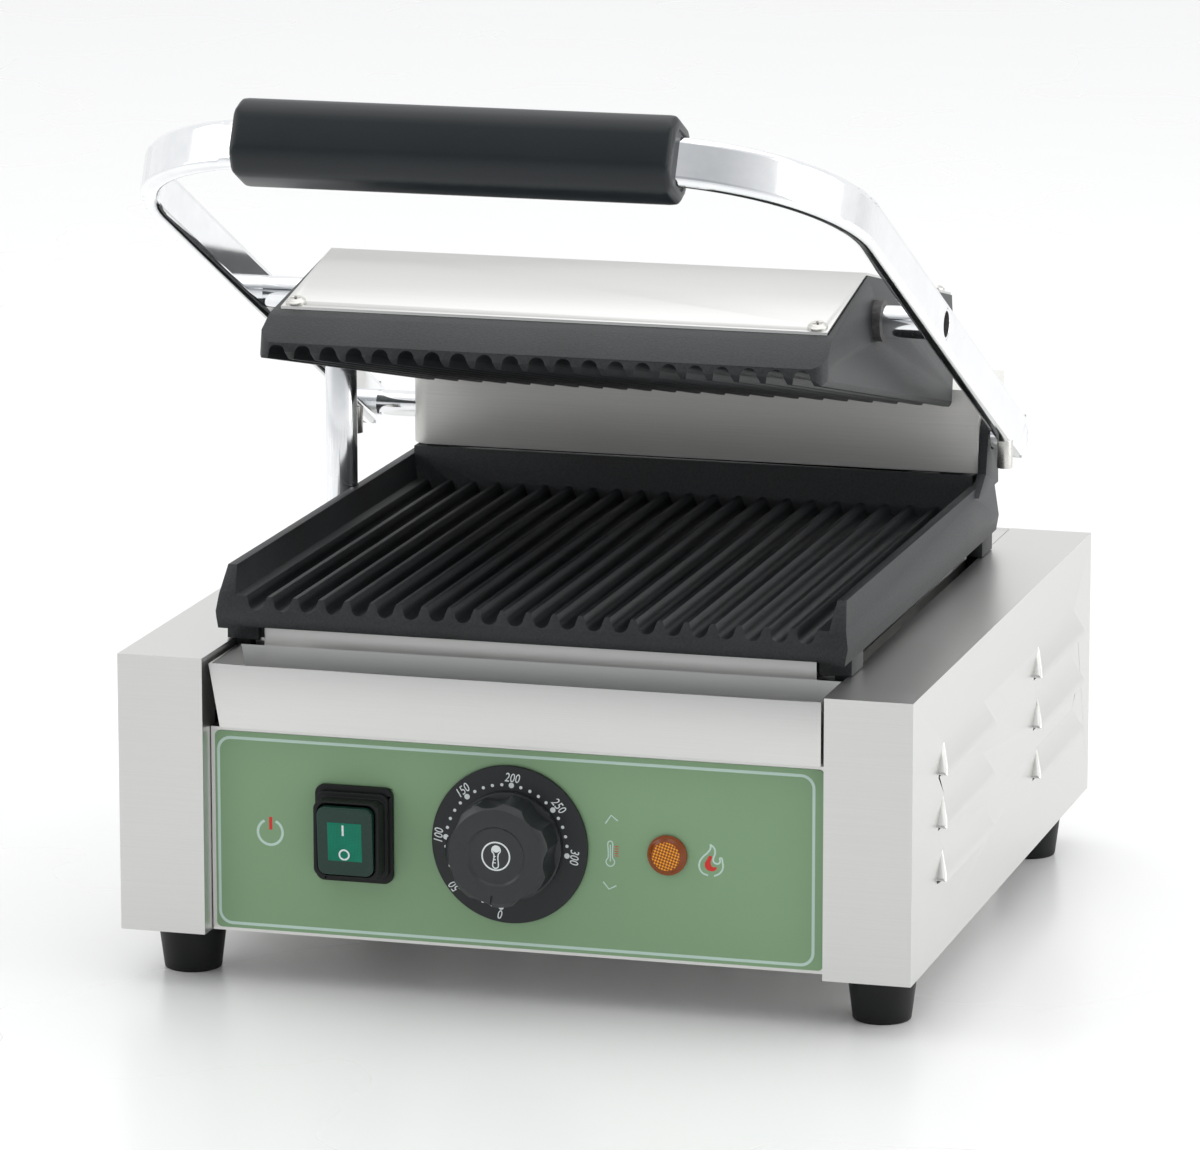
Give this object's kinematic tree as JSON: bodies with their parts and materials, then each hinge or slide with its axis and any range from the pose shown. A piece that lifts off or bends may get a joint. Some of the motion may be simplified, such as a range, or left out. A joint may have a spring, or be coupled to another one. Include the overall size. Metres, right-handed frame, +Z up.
{
  "type": "panini press",
  "caption": "Contact grill with ribbed cast plates, a counterbalanced U-shaped handle, a drip tray, a thermostat knob and a rocker switch.",
  "frame": {"origin": "on the floor, under the middle of the overall footprint with the handle in the rest pose", "axes": "+X to the user's right, +Y to the back, +Z up"},
  "size_m": [0.2968, 0.3688, 0.3297],
  "materials": {
    "stainless": "brushed",
    "panel_green": "satin overlay",
    "rubber_black": "matte",
    "steel_fasteners": "plated",
    "cast_iron": "fine grained",
    "heater_sheath": "oxidised",
    "bush_bronze": "plain",
    "chrome": "polished",
    "grip_black": "satin",
    "black_plastic": "satin",
    "pale_plastic": "satin",
    "copper": "plain",
    "lamp_amber": "translucent",
    "boot_green": "translucent",
    "rocker_green": "glossy",
    "insulation": "fibrous"
  },
  "bodies": {
    "base": {"base_pan": "stainless", "left_side_casing": "stainless", "right_side_casing": "stainless", "front_panel": "stainless", "rear_panel": "stainless", "tray_rails": "stainless", "heat_shield": "stainless", "splash_guard": "stainless", "panel_label": "panel_green", "rubber_feet": "rubber_black", "foot_screws": "steel_fasteners", "plate_bolts": "steel_fasteners", "riser_nut": "steel_fasteners", "lower_element_clamps": "steel_fasteners", "lower_grill_plate": "cast_iron", "lower_element": "heater_sheath", "counterbalance_springs": "heater_sheath", "axle_bushes": "bush_bronze", "conduit_riser": "chrome", "dial_ring": "black_plastic", "switch_bezel": "black_plastic", "switch_boot": "black_plastic", "switch_body": "black_plastic", "pilot_lamp_body": "black_plastic", "cable_gland": "black_plastic", "riser_gland": "black_plastic", "thermostat_body": "pale_plastic", "terminal_block": "pale_plastic", "thermostat_bulb": "copper", "pilot_lamp_lens": "lamp_amber"},
    "tray": {"drip_tray": "stainless"},
    "handle": {"hinge_axle": "chrome", "handle_bar": "chrome", "handle_grip": "grip_black", "pivot_pins": "chrome", "arm_stop_bolts": "steel_fasteners", "spring_collars": "steel_fasteners"},
    "upper_plate": {"upper_grill_plate": "cast_iron", "pivot_bushes": "bush_bronze", "upper_element": "heater_sheath", "upper_element_clamps": "steel_fasteners", "upper_insulation": "insulation", "upper_cover": "stainless", "cover_screws": "steel_fasteners", "upper_lead_gland": "steel_fasteners"},
    "knob": {"thermostat_knob": "black_plastic", "thermostat_shaft": "steel_fasteners"},
    "rocker": {"switch_cap": "boot_green", "switch_rocker": "rocker_green"}
  },
  "joints": [
    {"name": "handle_hinge", "type": "hinge", "parent": "base", "child": "handle", "pos_m": [0, 0.13289, 0.166], "axis": [1, 0, 0], "range_deg": [-30, 26]},
    {"name": "plate_pivot", "type": "hinge", "parent": "handle", "child": "upper_plate", "pos_m": [0, -0.00225, 0.23224], "axis": [1, 0, 0], "range_deg": [-13.7, 15.8]},
    {"name": "thermostat_turn", "type": "hinge", "parent": "base", "child": "knob", "pos_m": [-0.002, -0.11301, 0.0592], "axis": [0, 1, 0], "range_deg": [0, 270]},
    {"name": "switch_rock", "type": "hinge", "parent": "base", "child": "rocker", "pos_m": [-0.0593, -0.12161, 0.0592], "axis": [1, 0, 0], "range_deg": [-7, 0]},
    {"name": "tray_slide", "type": "slide", "parent": "base", "child": "tray", "axis": [0, -1, 0], "range_m": [0, 0.04]}
  ],
  "couplings": [
    {"joint": "plate_pivot", "follows": "handle_hinge", "ratio": -0.52308}
  ]
}
